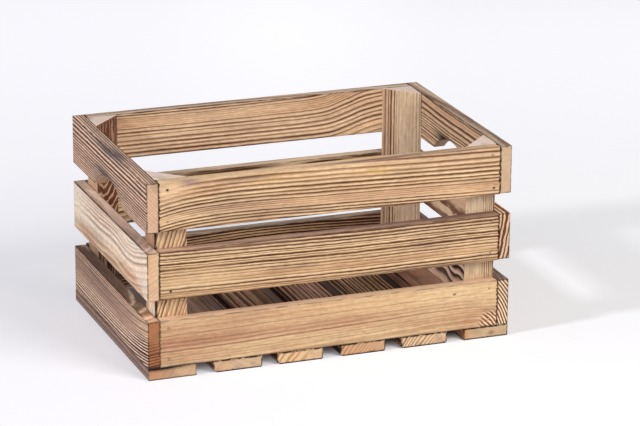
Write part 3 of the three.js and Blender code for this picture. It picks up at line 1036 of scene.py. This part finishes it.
# The camera as solved from the photograph's corner points: place in metres, angles in degrees.
photo = {
    "width": 640, "focal": 3067.4,
    "place": (-1.0246, -2.7737, 1.0804), "yaw": 20.888, "pitch": 18.124, "roll": 0.354,
}
studio = {
    "floor": 9,
    "floorColour": (240, 239, 243),  # for the light that bounces
    # For the camera the floor goes from one tint to the other, left to right, with a glow on top: painted
    # light and shade, which set how deep the lamps' shadows show on either side and brighten the floor,
    # most at the left and far back.
    "seenLeft": (0.6, 0.59, 0.625, 1),
    "seenRight": (0.96, 0.968, 1, 1),
    "leftToRight": (-0.24, 0.22),
    "glow": (0.45, 0.135),
    "nearToFar": (-0.1, 1.3),  # over these metres the glow rises
    "under": (0.27, 0.22),  # how bright the floor is under the crate, and how much less at the right
    "underShadeTint": (0.75, 0.52, 0.4, 1),  # painted shade on the floor under the crate, warmed as by light bounced off its wood
    "background": (250, 250, 255),
    "ambient": ((252, 252, 255), 0.21),
    "key": {"place": (1, -1.85, 1.62), "size": 1.3, "power": 49.8, "colour": (255, 252, 248)},
    "side": {"place": (-2.12, -0.45, 1.262), "size": 0.26, "power": 27.5, "colour": (250, 251, 255)},
}


def showingRays(paint):  # rays that show a surface rather than light something by it
    kinds = ("Is Camera Ray", "Is Glossy Ray", "Is Transmission Ray")
    seen, mirrored, through = paint.node("LightPath", output=kinds)
    return seen.atLeast(mirrored).atLeast(through)


def addFloor():
    shape = bmesh.new()
    bmesh.ops.create_circle(shape, cap_ends=True, segments=96, radius=studio["floor"])
    floor = bpy.data.objects.new("floor", meshFrom(shape, "floor"))
    scene.collection.objects.link(floor)
    paint = Paint(bpy.data.materials.new("studio_floor"))
    seen = showingRays(paint)
    x, y, _ = paint.parts(paint.node("TexCoord", output="Object"))
    sine = math.sin(math.radians(photo["yaw"]))
    cosine = math.cos(math.radians(photo["yaw"]))
    away = x * sine + y * cosine
    right = paint.ramp(x * cosine - y * sine, *studio["leftToRight"])
    low, high = cadBox
    behind = (y - high.y).atMost((y - high.y - 0.045).atLeast(abs(x) - high.x + 0.03))
    outside = (abs(x) - high.x).atLeast(low.y - y).atLeast(behind)
    underLeft, lessRight = studio["under"]
    under = underLeft - right * right * lessRight
    shade = paint.ramp(outside, -0.03, 0, under, 1)  # the crate shades the floor under it
    # painted light and shade: the glow and the camera's tint vary over the floor
    glowLeft, glowRight = studio["glow"]
    rise = paint.ramp(away, *studio["nearToFar"]) * (0.24 + right * 0.12 + right * (1 - right) * 0.2)
    glow = glowLeft + right * (glowRight - glowLeft) + rise
    # painted shade under the crate, warm from its wood
    shadeTint = paint.mix(paint.ramp(outside, -0.04, -0.01), studio["underShadeTint"], (1, 1, 1, 1))
    tint = paint.mix(right, studio["seenLeft"], studio["seenRight"])
    tint = paint.scaled(paint.mix(1, tint, shadeTint, "MULTIPLY"), shade)
    background = paint.mix(1, studio["background"], shadeTint, "MULTIPLY")
    base = paint.node("BsdfPrincipled", None, {
        "Base Color": paint.mix(seen, studio["floorColour"], tint),
        "Roughness": 0.9,
        "Specular IOR Level": 0,
        "Emission Color": paint.scaled(background, seen * glow * shade),
        "Emission Strength": 1,
    })
    floor.data.materials.append(paint.finish(base))


def addWorld():
    scene.world = bpy.data.worlds.new("studio")
    paint = Paint(scene.world)
    light = paint.node("Background", None, studio["ambient"])
    backdrop = paint.node("Background", None, [studio["background"], 1])
    shown = paint.node("MixShader", None, [showingRays(paint), light, backdrop])
    paint.finish(shown, "OutputWorld")


def addSoftbox(name):
    look = studio[name]
    lamp = bpy.data.lights.new(name, "AREA")
    lamp.shape = "SQUARE"
    lamp.size = look["size"]
    lamp.energy = look["power"]
    lamp.color = tone(look["colour"])[:3]
    holder = bpy.data.objects.new(name, lamp)
    scene.collection.objects.link(holder)
    holder.location = look["place"]
    aim = Vector((0, 0, 0.1)) - Vector(look["place"])
    holder.rotation_euler = aim.to_track_quat("-Z", "Y").to_euler()
    holder.visible_camera = False


def addCamera():
    camera = bpy.data.cameras.new("camera")
    camera.sensor_fit = "HORIZONTAL"
    camera.sensor_width = 36
    camera.lens = photo["focal"] / photo["width"] * camera.sensor_width
    camera.clip_end = 60
    holder = bpy.data.objects.new("camera", camera)
    scene.collection.objects.link(holder)
    aim = Euler((math.radians(90 - photo["pitch"]), 0, math.radians(-photo["yaw"]))).to_quaternion()
    holder.rotation_mode = "QUATERNION"
    holder.rotation_quaternion = aim @ Quaternion((0, 0, 1), math.radians(photo["roll"]))
    holder.location = photo["place"]
    scene.camera = holder


addFloor()
addWorld()
addSoftbox("key")
addSoftbox("side")
print("floor and lights made")
addCamera()
scene.view_settings.view_transform = "Standard"
print("camera made")
